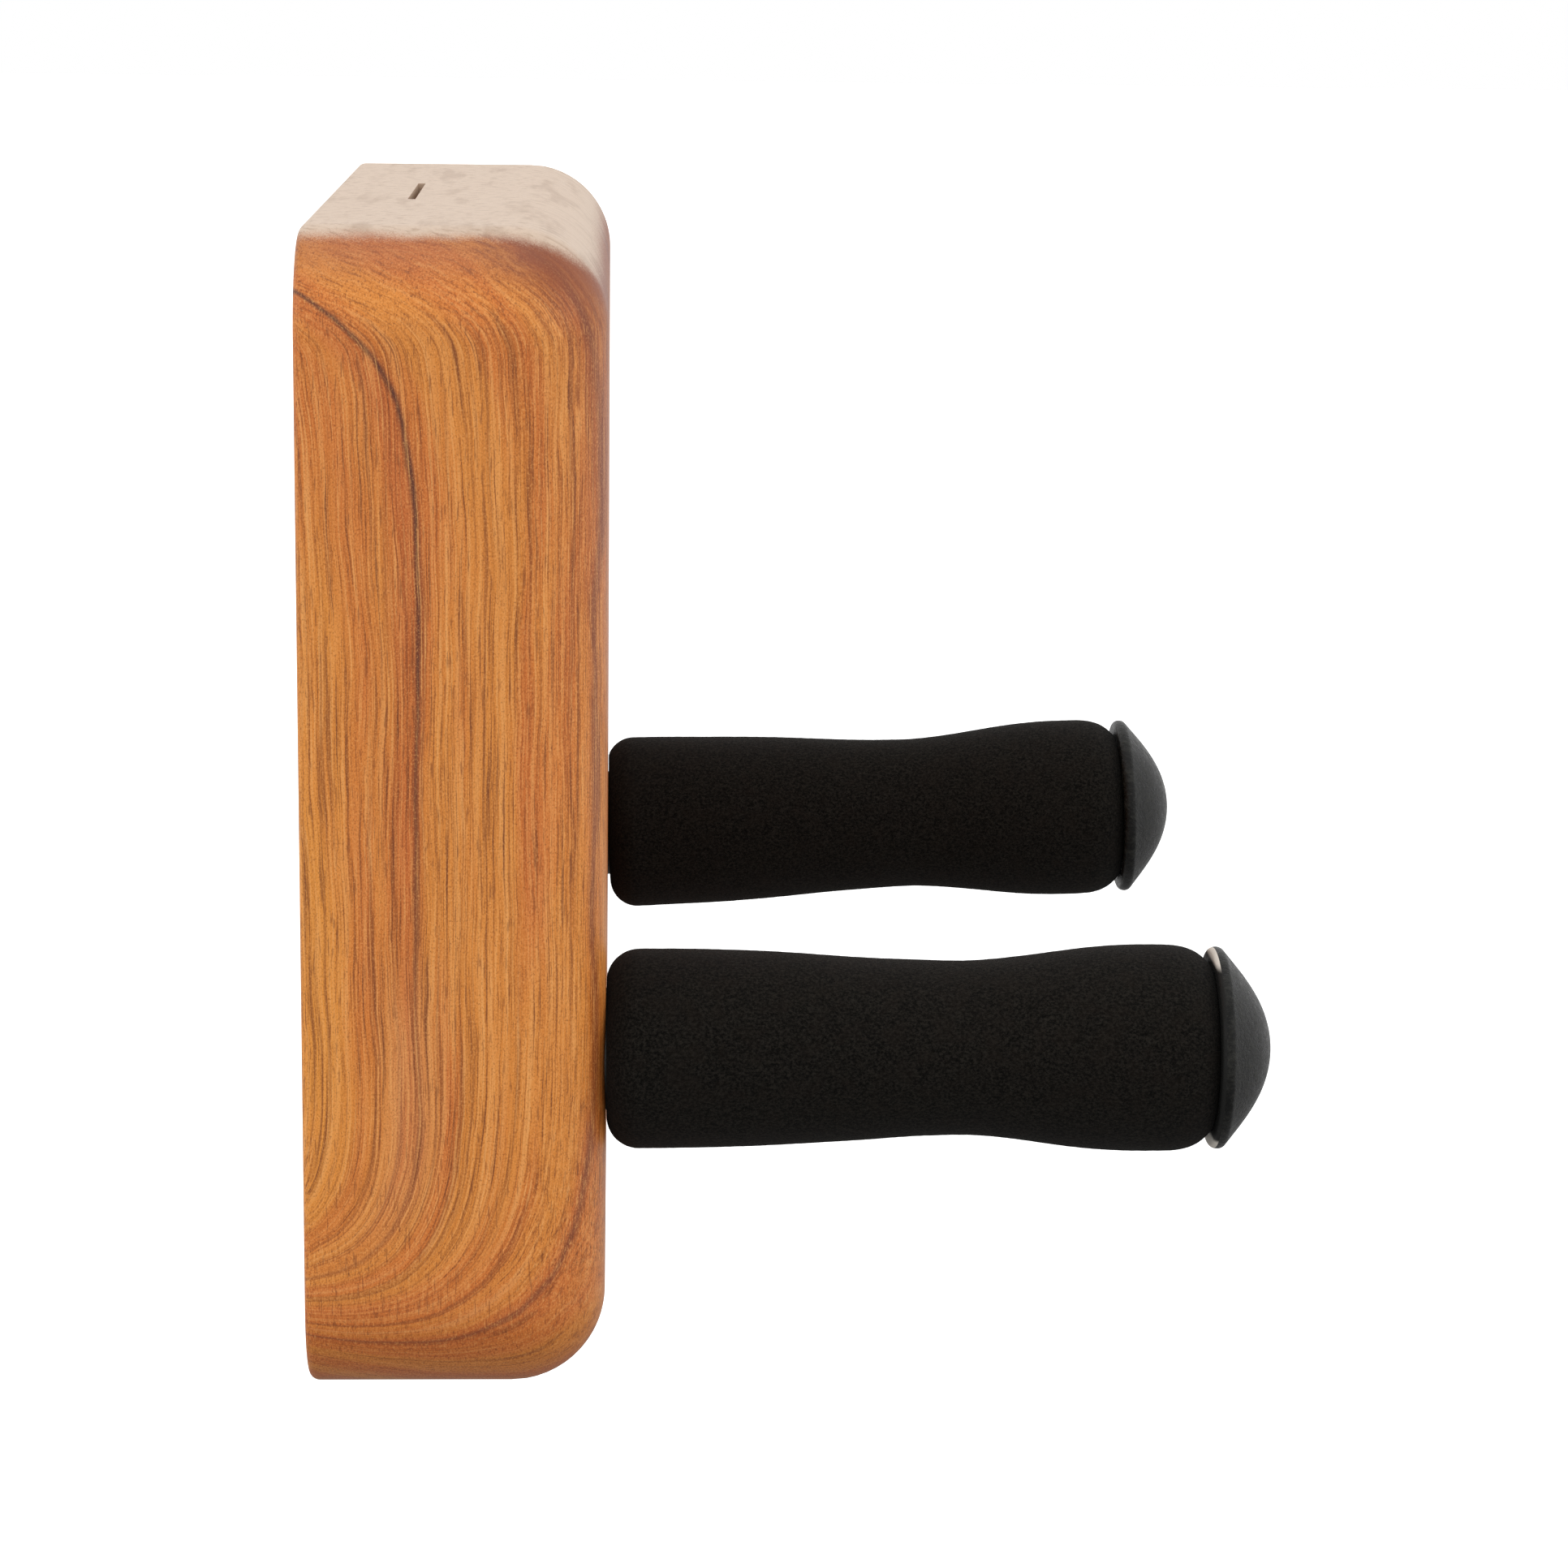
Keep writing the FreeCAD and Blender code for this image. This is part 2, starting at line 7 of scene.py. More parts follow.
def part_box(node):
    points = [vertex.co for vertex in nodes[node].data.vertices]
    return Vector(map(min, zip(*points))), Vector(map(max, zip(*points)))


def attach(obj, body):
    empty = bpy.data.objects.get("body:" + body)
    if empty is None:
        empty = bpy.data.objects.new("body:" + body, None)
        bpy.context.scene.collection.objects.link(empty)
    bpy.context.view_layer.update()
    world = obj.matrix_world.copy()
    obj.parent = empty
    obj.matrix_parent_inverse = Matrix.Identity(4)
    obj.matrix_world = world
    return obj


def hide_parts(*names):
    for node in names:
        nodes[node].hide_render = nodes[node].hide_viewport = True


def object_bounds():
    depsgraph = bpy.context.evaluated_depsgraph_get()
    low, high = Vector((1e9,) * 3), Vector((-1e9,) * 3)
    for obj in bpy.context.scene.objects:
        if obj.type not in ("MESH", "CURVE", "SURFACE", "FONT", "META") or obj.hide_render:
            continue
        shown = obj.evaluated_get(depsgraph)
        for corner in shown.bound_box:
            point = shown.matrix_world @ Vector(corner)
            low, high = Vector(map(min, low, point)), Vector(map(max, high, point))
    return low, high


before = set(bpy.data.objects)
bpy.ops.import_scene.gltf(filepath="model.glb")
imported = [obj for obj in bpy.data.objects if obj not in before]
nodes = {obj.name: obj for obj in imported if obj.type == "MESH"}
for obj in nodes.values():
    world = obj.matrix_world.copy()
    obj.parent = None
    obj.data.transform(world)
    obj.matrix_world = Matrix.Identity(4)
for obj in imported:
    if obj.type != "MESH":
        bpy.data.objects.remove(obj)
cad_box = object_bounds()

# ---------------------------------------------------------------- The block
# A slab of oiled hardwood, bandsawn to a rounded rectangle, its front rim turned over with a large
# router bit and sanded smooth. The fibres run up and down. One growth ring has stained almost
# black. The pale top is a painted highlight, the glare of the light from above, with the grain
# showing through, and the wood darkens towards the bottom in painted shade.


def paint(red, green, blue):
    """A colour as a paint chart gives it, 0 to 255, turned into the amounts that light works with."""
    amounts = []
    for part in (red, green, blue):
        share = part / 255
        if share <= 0.04045:
            amounts.append(share / 12.92)
        else:
            amounts.append(((share + 0.055) / 1.055) ** 2.4)
    return (*amounts, 1.0)


def plug(finish, value, socket):
    """Joins another node's output to a socket, or sets the socket to a plain value."""
    if isinstance(value, bpy.types.NodeSocket):
        finish.node_tree.links.new(value, socket)
    else:
        socket.default_value = value


def new_finish(name, **amounts):
    """A material whose shader has the plain amounts given, with _ for each space in their names."""
    finish = bpy.data.materials.new(name)
    finish.use_nodes = True
    shader = finish.node_tree.nodes["Principled BSDF"]
    for amount, value in amounts.items():
        shader.inputs[amount.replace("_", " ")].default_value = value
    return finish, shader


def maths(finish, operation, *terms):
    """One sum in a material, such as "ADD" or "POWER", of outputs and plain numbers."""
    step = finish.node_tree.nodes.new("ShaderNodeMath")
    step.operation = operation
    for socket, term in zip(step.inputs, terms):
        plug(finish, term, socket)
    return step.outputs["Value"]


def plus(finish, *terms):
    """The sum of outputs and plain numbers."""
    total = terms[0]
    for term in terms[1:]:
        total = maths(finish, "ADD", total, term)
    return total


def times(finish, *terms):
    """The product of outputs and plain numbers."""
    product = terms[0]
    for term in terms[1:]:
        product = maths(finish, "MULTIPLY", product, term)
    return product


def rise(finish, value, start, end, low=0.0, high=1.0):
    """low before start, high after end, and a smooth rise between them."""
    step = finish.node_tree.nodes.new("ShaderNodeMapRange")
    step.interpolation_type = "SMOOTHSTEP"
    for name, term in (
        ("Value", value),
        ("From Min", start),
        ("From Max", end),
        ("To Min", low),
        ("To Max", high),
    ):
        plug(finish, term, step.inputs[name])
    return step.outputs["Result"]


def place_in_millimetres(finish):
    """The place on the piece as three outputs, in millimetres, that move with the piece."""
    source = finish.node_tree.nodes.new("ShaderNodeTexCoord")
    scale = finish.node_tree.nodes.new("ShaderNodeVectorMath")
    scale.operation = "SCALE"
    plug(finish, source.outputs["Object"], scale.inputs[0])
    plug(finish, 1000.0, scale.inputs["Scale"])
    parts = finish.node_tree.nodes.new("ShaderNodeSeparateXYZ")
    plug(finish, scale.outputs["Vector"], parts.inputs["Vector"])
    return parts.outputs["X"], parts.outputs["Y"], parts.outputs["Z"]


def grain(finish, place, fineness, detail=2.0, roughness=0.5):
    """Noise from 0 to 1 over three outputs, each with its own fineness per millimetre."""
    joined = finish.node_tree.nodes.new("ShaderNodeCombineXYZ")
    for socket, along, fine in zip(joined.inputs, place, fineness):
        plug(finish, times(finish, along, fine), socket)
    pattern = finish.node_tree.nodes.new("ShaderNodeTexNoise")
    plug(finish, joined.outputs["Vector"], pattern.inputs["Vector"])
    plug(finish, 1.0, pattern.inputs["Scale"])
    plug(finish, detail, pattern.inputs["Detail"])
    plug(finish, roughness, pattern.inputs["Roughness"])
    return pattern.outputs["Fac"]


def stain(finish, under, over, amount):
    """The colour under, covered by the colour over where amount is 1."""
    mixed = finish.node_tree.nodes.new("ShaderNodeMix")
    mixed.data_type = "RGBA"
    plug(finish, amount, mixed.inputs["Factor"])
    plug(finish, under, mixed.inputs["A"])
    plug(finish, over, mixed.inputs["B"])
    return mixed.outputs["Result"]


def bump(finish, shader, height, depth, strength=1.0):
    """Gives the surface small hollows, depth metres deep, where height falls."""
    hollows = finish.node_tree.nodes.new("ShaderNodeBump")
    plug(finish, height, hollows.inputs["Height"])
    plug(finish, depth, hollows.inputs["Distance"])
    plug(finish, strength, hollows.inputs["Strength"])
    plug(finish, hollows.outputs["Normal"], shader.inputs["Normal"])


HEARTWOOD_GOLDEN = paint(222, 136, 50)
HEARTWOOD_ORANGE = paint(210, 114, 40)
HEARTWOOD_RED = paint(186, 88, 36)
FIBRE_LIGHT = paint(244, 174, 100)
FIBRE_DARK = paint(118, 56, 14)
RING_BROWN = paint(128, 64, 34)
RING_BLACK = paint(66, 28, 24)
# painted highlight colours: the pale glare on the top, and a darker one where the grain shows through
# it
PAINTED_TOP_GLARE = paint(204, 180, 158)
PAINTED_TOP_GLARE_DARK = paint(170, 142, 118)
PITH_GOLD = paint(238, 156, 58)
ROSY = paint(206, 132, 92)

# The rings' figure, in millimetres: nested loops about a middle height, which widen outwards, with
# squarer ends below than above. Across the width they shift from one reach of Y to the next.
FIGURE_MIDDLE = -23.0
FIGURE_HALF_HEIGHT = 100.0
FIGURE_WIDENING = 0.33
FIGURE_BEND = 30.0
FIGURE_BELLY = 5.0
FIGURE_SHIFT_LEFT = (-100.0, 30.0, 0.0, -40.0)
FIGURE_SHIFT_RIGHT = (30.0, 125.0, 0.0, 24.0)
SQUARENESS_ABOVE = 4.6
SQUARENESS_BELOW = 7.5
SQUARENESS_CHANGE = 0.037
BLACK_RING = 22.6
BROWN_RING = 57.4

# The edge of the painted highlight on the top is a round corner about this line, in millimetres.
GLARE_CENTRE_FROM_WALL = 38.0
GLARE_CENTRE_HEIGHT = 53.0
GLARE_RADIUS = 32.0


def timber():
    """Oiled hardwood with growth rings, fibres, pores, two stained rings, a painted highlight on top
    and painted shade low down.
    """
    finish, shader = new_finish("oiled_hardwood", Specular_IOR_Level=0.4)
    x, y, z = place_in_millimetres(finish)
    place = (x, y, z)

    # where a point lies across the growth rings
    wander = grain(finish, place, (0.03, 0.03, 0.012), 2.0)
    waver = grain(finish, place, (0.16, 0.16, 0.05), 2.0)
    up = maths(finish, "ABSOLUTE", plus(finish, z, -FIGURE_MIDDLE))
    reach = plus(finish, times(finish, x, FIGURE_WIDENING), FIGURE_HALF_HEIGHT)
    share = maths(finish, "DIVIDE", up, reach)
    squareness = rise(
        finish,
        z,
        FIGURE_MIDDLE - 40.0,
        FIGURE_MIDDLE + 40.0,
        plus(finish, times(finish, x, -SQUARENESS_CHANGE), SQUARENESS_BELOW),
        plus(finish, times(finish, x, SQUARENESS_CHANGE), SQUARENESS_ABOVE),
    )
    sweep = plus(
        finish,
        times(finish, maths(finish, "POWER", share, squareness), FIGURE_BEND),
        times(finish, maths(finish, "POWER", share, 2.0), -FIGURE_BELLY),
    )
    ring = plus(
        finish,
        x,
        sweep,
        rise(finish, y, *FIGURE_SHIFT_LEFT),
        rise(finish, y, *FIGURE_SHIFT_RIGHT),
        times(finish, plus(finish, wander, -0.5), 5.0),
        times(finish, plus(finish, waver, -0.5), 1.6),
    )
    towards_ends = rise(finish, share, 0.72, 1.0)

    # the fibres follow the rings below, and stand straighter than the rings above
    upright = times(finish, rise(finish, z, -20.0, 30.0, 0.0, -0.7), rise(finish, z, 78.0, 62.0))
    line = plus(finish, ring, times(finish, sweep, upright))

    # broad bands, then streaks along the rings, then single fibres, specks and pores
    tone = grain(finish, (ring, y, z), (0.11, 0.02, 0.01), 2.0)
    streaks = grain(finish, (line, y, z), (0.95, 0.4, 0.012), 4.0, 0.62)
    long_fibres = grain(finish, (line, y, z), (2.6, 2.6, 0.036), 3.0, 0.62)
    short_fibres = grain(finish, place, (2.6, 2.6, 0.4), 3.0, 0.62)
    speckle = grain(finish, place, (3.1, 3.1, 2.2), 3.0, 0.7)
    pores = grain(finish, place, (2.3, 2.3, 0.2), 1.0)

    colour = stain(finish, HEARTWOOD_GOLDEN, HEARTWOOD_ORANGE, rise(finish, tone, 0.4, 0.62))
    colour = stain(finish, colour, HEARTWOOD_RED, rise(finish, tone, 0.56, 0.78, 0.0, 0.45))
    # the golden wood about the pith, the brown edge of the front rim, and a rosy patch low down
    golden = times(finish, rise(finish, ring, 16.0, 2.0, 0.0, 0.5), rise(finish, z, 52.0, 10.0))
    colour = stain(finish, colour, PITH_GOLD, golden)
    brown = times(
        finish,
        rise(finish, ring, 46.0, 55.0),
        rise(finish, ring, 62.0, 57.0),
        rise(finish, z, -30.0, 66.0, 0.0, 0.75),
        rise(finish, streaks, 0.62, 0.36, 0.15, 1.0),
    )
    colour = stain(finish, colour, RING_BROWN, brown)
    colour = stain(finish, colour, FIBRE_LIGHT, rise(finish, streaks, 0.5, 0.7, 0.0, 0.4))
    colour = stain(finish, colour, FIBRE_DARK, rise(finish, streaks, 0.5, 0.28, 0.0, 0.62))

    rosy = times(
        finish,
        rise(finish, ring, 12.0, 19.0),
        rise(finish, ring, 30.0, 22.0),
        rise(finish, z, -122.0, -100.0),
        rise(finish, z, -48.0, -76.0, 0.0, 0.35),
        rise(finish, wander, 0.2, 0.6, 0.5, 1.0),
    )
    colour = stain(finish, colour, ROSY, rosy)

    # the stained rings, darker on the side towards the pith
    fade = rise(finish, z, -120.0, 30.0, 0.3, 1.0)
    for radius, line_colour, halo, width, strength in (
        (BLACK_RING, RING_BLACK, 8.0, 1.0, fade),
        (BROWN_RING, RING_BROWN, 3.5, 1.3, 0.9),
    ):
        past = plus(finish, ring, -radius)
        within = rise(finish, past, -halo, 0.0, 0.0, 0.5)
        beyond = rise(finish, past, 0.0, halo / 4, 1.0, 0.0)
        colour = stain(finish, colour, HEARTWOOD_RED, times(finish, within, beyond, strength))
        away = maths(finish, "ABSOLUTE", past)
        ragged = times(finish, rise(finish, short_fibres, 0.2, 0.6, 0.55, 1.0), strength)
        dark = times(finish, rise(finish, away, 0.0, width, 0.95, 0.0), ragged)
        colour = stain(finish, colour, line_colour, dark)

    fibres = plus(
        finish,
        times(finish, long_fibres, rise(finish, towards_ends, 0.0, 1.0, 1.0, 0.35)),
        times(finish, short_fibres, rise(finish, towards_ends, 0.0, 1.0, 0.0, 0.65)),
    )
    for pattern, light, dark in ((fibres, 0.62, 0.95), (speckle, 0.5, 0.7)):
        colour = stain(finish, colour, FIBRE_LIGHT, rise(finish, pattern, 0.5, 0.72, 0.0, light))
        colour = stain(finish, colour, FIBRE_DARK, rise(finish, pattern, 0.5, 0.26, 0.0, dark))
    colour = stain(finish, colour, FIBRE_DARK, rise(finish, pores, 0.6, 0.74, 0.0, 0.5))

    # painted highlight: the pale glare along the top, with the grain showing through it, and a
    # red-brown band along its edge, stronger towards the front
    out = maths(finish, "MAXIMUM", plus(finish, x, -GLARE_CENTRE_FROM_WALL), 0.0)
    over = maths(finish, "MAXIMUM", plus(finish, z, -GLARE_CENTRE_HEIGHT), 0.0)
    from_centre = maths(
        finish,
        "SQRT",
        plus(finish, maths(finish, "POWER", out, 2.0), maths(finish, "POWER", over, 2.0)),
    )
    glare_reach = plus(
        finish,
        from_centre,
        rise(finish, y, -104.0, -85.0, 0.0, 1.6),
        times(finish, plus(finish, waver, -0.5), 1.6),
        times(finish, plus(finish, speckle, -0.5), 3.2),
    )
    edge = times(
        finish,
        rise(finish, glare_reach, GLARE_RADIUS - 13.0, GLARE_RADIUS - 0.6),
        rise(finish, x, 34.0, 48.0, 0.5, 0.9),
    )
    colour = stain(finish, colour, RING_BROWN, edge)
    # painted shade: the wood darkens towards the bottom, where the rounding turns from the light
    colour = stain(finish, colour, RING_BROWN, rise(finish, z, -116.0, -146.0, 0.0, 0.36))
    painted_glare = stain(finish, PAINTED_TOP_GLARE, PAINTED_TOP_GLARE_DARK, rise(finish, streaks, 0.52, 0.3, 0.0, 0.8))
    painted_glare = stain(finish, painted_glare, PAINTED_TOP_GLARE_DARK, rise(finish, fibres, 0.5, 0.3, 0.0, 0.35))
    clouds = grain(finish, place, (0.16, 0.03, 0.1), 3.0, 0.6)
    painted_glare = stain(finish, painted_glare, PAINTED_TOP_GLARE_DARK, rise(finish, clouds, 0.5, 0.3, 0.0, 0.6))
    # painted highlight: the pale glare laid over the top
    colour = stain(finish, colour, painted_glare, rise(finish, glare_reach, GLARE_RADIUS - 1.8, GLARE_RADIUS + 1.2))

    plug(finish, colour, shader.inputs["Base Color"])
    plug(finish, rise(finish, speckle, 0.3, 0.7, 0.52, 0.4), shader.inputs["Roughness"])
    bump(finish, shader, plus(finish, fibres, times(finish, pores, -0.6)), 0.00006, 0.6)
    return finish


# The mortise and the rail pocket are cut in the same wood, so they need no finish of their own.
nodes["wood_block"].data.materials.clear()
nodes["wood_block"].data.materials.append(timber())

# ---------------------------------------------------------------- The rails and their screws
# Two lengths of one extruded aluminium profile, mill finished, with fine die lines along them. One
# is screwed to the wall, and the other is held in the block's pocket by four zinc-plated screws.


def mill_aluminium():
    """Bare extruded aluminium, cloudy, with die lines along its length."""
    finish, shader = new_finish("mill_aluminium", Metallic=1.0)
    x, y, z = place_in_millimetres(finish)
    die_lines = grain(finish, (x, y, z), (2.2, 0.02, 2.2), 3.0, 0.6)
    clouds = grain(finish, (x, y, z), (0.12, 0.05, 0.12), 3.0)
    colour = stain(finish, paint(196, 198, 200), paint(222, 223, 224), clouds)
    plug(finish, colour, shader.inputs["Base Color"])
    plug(finish, rise(finish, die_lines, 0.3, 0.7, 0.48, 0.3), shader.inputs["Roughness"])
    bump(finish, shader, die_lines, 0.00004, 0.5)
    return finish


def zinc_plate():
    """Bright zinc plate with a faint spangle."""
    finish, shader = new_finish("zinc_plate", Metallic=1.0)
    x, y, z = place_in_millimetres(finish)
    spangle = grain(finish, (x, y, z), (0.5, 0.5, 0.5), 3.0, 0.6)
    crystals = rise(finish, spangle, 0.35, 0.65)
    colour = stain(finish, paint(176, 180, 186), paint(206, 206, 200), crystals)
    plug(finish, colour, shader.inputs["Base Color"])
    plug(finish, rise(finish, spangle, 0.3, 0.7, 0.24, 0.42), shader.inputs["Roughness"])
    bump(finish, shader, spangle, 0.00003, 0.4)
    return finish


ALUMINIUM = mill_aluminium()
ZINC = zinc_plate()
for name, finish in (("wall_rail", ALUMINIUM), ("hanger_rail", ALUMINIUM), ("hanger_screws", ZINC)):
    nodes[name].data.materials.clear()
    nodes[name].data.materials.append(finish)

# ---------------------------------------------------------------- The arms' steel
# Each arm is a black-painted steel tube with a threaded slug welded in its inner end. A black
# socket-head bolt, put in from the block's back over two zinc-plated washers, pulls it home.


def black_paint():
    """Black paint with a slight orange peel."""
    finish, shader = new_finish("black_paint", Specular_IOR_Level=0.5)
    x, y, z = place_in_millimetres(finish)
    peel = grain(finish, (x, y, z), (0.9, 0.9, 0.9), 2.0)
    colour = stain(finish, paint(24, 24, 25), paint(34, 34, 35), peel)
    plug(finish, colour, shader.inputs["Base Color"])
    plug(finish, rise(finish, peel, 0.3, 0.7, 0.32, 0.46), shader.inputs["Roughness"])
    bump(finish, shader, peel, 0.00005, 0.5)
    return finish


def black_oxide():
    """Oiled black oxide on a bolt, with a brown bloom."""
    finish, shader = new_finish("black_oxide", Metallic=0.8)
    x, y, z = place_in_millimetres(finish)
    bloom_and_painted_glint = grain(finish, (x, y, z), (0.6, 0.6, 0.6), 4.0, 0.65)
    colour = stain(finish, paint(38, 38, 40), paint(66, 64, 62), bloom_and_painted_glint)
    plug(finish, colour, shader.inputs["Base Color"])
    plug(finish, rise(finish, bloom_and_painted_glint, 0.3, 0.7, 0.3, 0.5), shader.inputs["Roughness"])
    bump(finish, shader, bloom_and_painted_glint, 0.00003, 0.4)
    return finish


PAINTED_STEEL = black_paint()
OXIDE_STEEL = black_oxide()
SIDES = ("left", "right")
for side in SIDES:
    for piece, finish in (
        ("arm_tube", PAINTED_STEEL),
        ("arm_insert", PAINTED_STEEL),
        ("arm_bolt", OXIDE_STEEL),
        ("washer", ZINC),
        ("lock_washer", ZINC),
    ):
        node = nodes[f"{side}_{piece}"]
        node.data.materials.clear()
        node.data.materials.append(finish)

# ---------------------------------------------------------------- The foam grips
# A sleeve of closed-cell rubber foam is blown over each tube. It is ground to a full barrel at its
# root, a waist for the fingers and a bulge before the end, and its skin is matt and finely pitted.

TUBE_END_DEPTH = 0.002
GRIP_ROOT_RADIUS = 0.0205
GRIP_WAIST_RADIUS = 0.0179
GRIP_BULGE_RADIUS = 0.0212
GRIP_END_RADIUS = 0.0173
GRIP_END_SHARPNESS = 4.5
GRIP_ROOT_ROUND = 0.0067
GRIP_WAIST_PLACE = 0.073
GRIP_BULGE_PLACE = 0.1095
GRIP_RINGS = 132
GRIP_ROUND_STEPS = 12
GRIP_SEGMENTS = 112
GRIP_BORE_CLEARANCE = 0.0001
GRIP_UNEVENNESS = 0.00022
GRIP_UNEVENNESS_FINENESS = 55.0
GRIP_PITTING = 0.00005
GRIP_PITTING_FINENESS = 1400.0
GRIP_CONTACT = 0.0001
SHARP_EDGE = math.radians(40)


def arm_line(side):
    """The middle of an arm tube's seated end, and the way that the arm points."""
    points = [vertex.co for vertex in nodes[f"{side}_arm_tube"].data.vertices]
    ends = []
    for edge in (min(point.x for point in points), max(point.x for point in points)):
        ring = [point for point in points if abs(point.x - edge) < TUBE_END_DEPTH]
        low = Vector([min(point[axis] for point in ring) for axis in range(3)])
        high = Vector([max(point[axis] for point in ring) for axis in range(3)])
        ends.append((low + high) / 2)
    return ends[0], (ends[1] - ends[0]).normalized()


def eased(share):
    """A smooth rise from 0 to 1 as share goes from 0 to 1."""
    share = min(1.0, max(0.0, share))
    return share * share * (3 - 2 * share)


def grip_radius(along, length):
    """The foam's radius at a distance along the grip, past the round at its root."""
    if along < GRIP_WAIST_PLACE:
        share = ((along - GRIP_ROOT_ROUND) / (GRIP_WAIST_PLACE - GRIP_ROOT_ROUND)) ** 1.3
        return GRIP_ROOT_RADIUS + (GRIP_WAIST_RADIUS - GRIP_ROOT_RADIUS) * eased(share)
    if along < GRIP_BULGE_PLACE:
        share = ((along - GRIP_WAIST_PLACE) / (GRIP_BULGE_PLACE - GRIP_WAIST_PLACE)) ** 0.92
        return GRIP_WAIST_RADIUS + (GRIP_BULGE_RADIUS - GRIP_WAIST_RADIUS) * eased(share)
    share = (along - GRIP_BULGE_PLACE) / (length - GRIP_BULGE_PLACE)
    return GRIP_BULGE_RADIUS - (GRIP_BULGE_RADIUS - GRIP_END_RADIUS) * share**GRIP_END_SHARPNESS


def grip_outline(length, bore):
    """Places along the arm and radii, from the bore at the root, over the outside, to the bore."""
    outline = [(0.0, bore)]
    for step in range(GRIP_ROUND_STEPS + 1):
        turn = math.pi / 2 * step / GRIP_ROUND_STEPS
        outline.append(
            (
                GRIP_ROOT_ROUND * (1 - math.cos(turn)),
                GRIP_ROOT_RADIUS - GRIP_ROOT_ROUND * (1 - math.sin(turn)),
            )
        )
    for step in range(1, GRIP_RINGS + 1):
        along = GRIP_ROOT_ROUND + (length - GRIP_ROOT_ROUND) * step / GRIP_RINGS
        outline.append((along, grip_radius(along, length)))
    outline.append((length, bore))
    return outline


def arm_frame(way):
    """Two directions square to an arm and to each other."""
    sideways = way.cross(Vector((0, 0, 1))).normalized()
    return sideways, sideways.cross(way)


def ring_faces(ring_count, segments):
    """The faces that join each ring of points to the next one."""
    faces = []
    for ring in range(ring_count - 1):
        near = ring * segments
        far = near + segments
        for segment in range(segments):
            beside = (segment + 1) % segments
            faces.append((near + segment, far + segment, far + beside, near + beside))
    return faces


def new_piece(name, points, faces, finish):
    """A smooth piece of the rack, with its faces turned outwards."""
    mesh = bpy.data.meshes.new(name)
    mesh.from_pydata(points, [], faces)
    shell = bmesh.new()
    shell.from_mesh(mesh)
    bmesh.ops.recalc_face_normals(shell, faces=shell.faces)
    shell.to_mesh(mesh)
    shell.free()
    mesh.shade_smooth()
    mesh.set_sharp_from_angle(angle=SHARP_EDGE)
    piece = bpy.data.objects.new(name, mesh)
    bpy.context.scene.collection.objects.link(piece)
    piece.data.materials.append(finish)
    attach(piece, "rack")
    return piece


def foam_grip(side, finish):
    """One grip, from the block's face, which squashes its root flat, to the end cap."""
    seat, way = arm_line(side)
    plain = [vertex.co - seat for vertex in nodes[f"{side}_foam_grip"].data.vertices]
    bore = min((point - way * point.dot(way)).length for point in plain)
    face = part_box("wood_block")[1].x + GRIP_CONTACT
    start = (face - seat.x) / way.x
    end = max(point.dot(way) for point in plain)
    sideways, upward = arm_frame(way)
    outline = grip_outline(end - start, bore)
    points = []
    for along, radius in outline:
        for segment in range(GRIP_SEGMENTS):
            turn = 2 * math.pi * segment / GRIP_SEGMENTS
            outward = sideways * math.cos(turn) + upward * math.sin(turn)
            place = seat + way * (start + along) + outward * radius
            if radius > bore + GRIP_BORE_CLEARANCE:
                unevenness = noise.noise(place * GRIP_UNEVENNESS_FINENESS) * GRIP_UNEVENNESS
                pitting = noise.noise(place * GRIP_PITTING_FINENESS) * GRIP_PITTING
                place += outward * (unevenness + pitting)
            place.x = max(place.x, face)
            points.append(place)
    faces = ring_faces(len(outline), GRIP_SEGMENTS)
    last = (len(outline) - 1) * GRIP_SEGMENTS
    for segment in range(GRIP_SEGMENTS):
        beside = (segment + 1) % GRIP_SEGMENTS
        faces.append((last + segment, segment, beside, last + beside))
    grip = new_piece(f"{side}_grip_foam", points, faces, finish)
    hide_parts(f"{side}_foam_grip")


def black_foam():
    """Matt closed-cell foam, with open cells at its ground skin."""
    finish, shader = new_finish(
        "black_foam", Specular_IOR_Level=0.05, Sheen_Weight=0.02, Sheen_Roughness=0.6
    )
    x, y, z = place_in_millimetres(finish)
    cells = grain(finish, (x, y, z), (1.5, 1.9, 1.9), 4.0, 0.8)
    clouds = grain(finish, (x, y, z), (0.25, 0.25, 0.25), 2.0)
    colour = stain(finish, paint(6, 5, 4), paint(34, 31, 27), rise(finish, cells, 0.38, 0.68))
    colour = stain(finish, colour, paint(26, 21, 17), rise(finish, clouds, 0.45, 0.7, 0.0, 0.35))
    plug(finish, colour, shader.inputs["Base Color"])
    plug(finish, rise(finish, cells, 0.3, 0.7, 0.98, 0.8), shader.inputs["Roughness"])
    bump(finish, shader, cells, 0.00012, 0.7)
    return finish


FOAM = black_foam()
for side in SIDES:
    foam_grip(side, FOAM)

# ---------------------------------------------------------------- The end caps
# A mushroom cap of charcoal plastic, moulded in one piece with the finned stem that pushes into the
# tube. Its lip is a soft bead that stands over the foam's end, and its dome is satin and scuffed.

